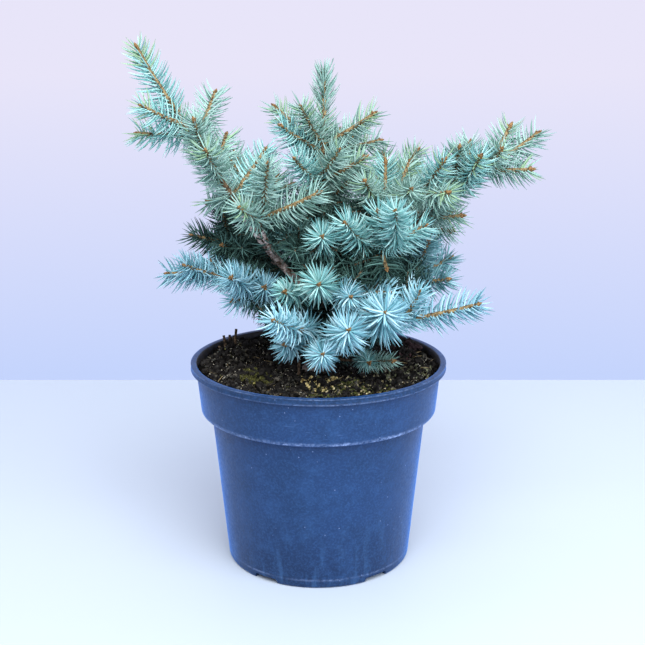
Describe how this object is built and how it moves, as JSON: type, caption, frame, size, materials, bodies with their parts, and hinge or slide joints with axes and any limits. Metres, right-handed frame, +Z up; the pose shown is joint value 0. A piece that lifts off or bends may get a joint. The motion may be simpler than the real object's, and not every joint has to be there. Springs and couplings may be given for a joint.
{
  "type": "potted globosa blue spruce",
  "caption": "Young wide-spreading dwarf spruce with blue needles, rooted in potting soil in a round plastic nursery pot with a deep collar and a drained foot.",
  "frame": {"origin": "centre of the pot's underside", "axes": "+Z up, +X to the right as the plant is seen from its front, +Y away from the front"},
  "size_m": [0.3093, 0.2467, 0.3901],
  "materials": {
    "pot_plastic": "satin",
    "potting_soil": "matte",
    "bark": "matte",
    "needles": "satin"
  },
  "bodies": {
    "root": {"pot": "pot_plastic", "soil": "potting_soil", "trunk": "bark", "bough_left": "bark", "bough_left_front": "bark", "bough_right": "bark", "bough_right_middle": "bark", "bough_right_front": "bark", "bough_right_back": "bark", "bough_low_left": "bark", "bough_left_back": "bark", "bough_front_low_left": "bark", "bough_front": "bark", "bough_front_right": "bark", "bough_low_right": "bark", "bough_back_left": "bark", "bough_back_right": "bark", "bough_back": "bark", "bough_back_low_left": "bark", "bough_back_low_right": "bark", "foliage_left": "needles", "foliage_left_front": "needles", "foliage_top": "needles", "foliage_top_front": "needles", "foliage_centre": "needles", "foliage_right": "needles", "foliage_right_middle": "needles", "foliage_right_front": "needles", "foliage_right_back": "needles", "foliage_low_left": "needles", "foliage_left_back": "needles", "foliage_front_low_left": "needles", "foliage_front": "needles", "foliage_front_right": "needles", "foliage_low_right": "needles", "foliage_foot_right": "needles", "foliage_back_left": "needles", "foliage_back_right": "needles", "foliage_back": "needles", "foliage_back_low_left": "needles", "foliage_back_low_right": "needles", "foliage_back_top": "needles"}
  },
  "joints": []
}
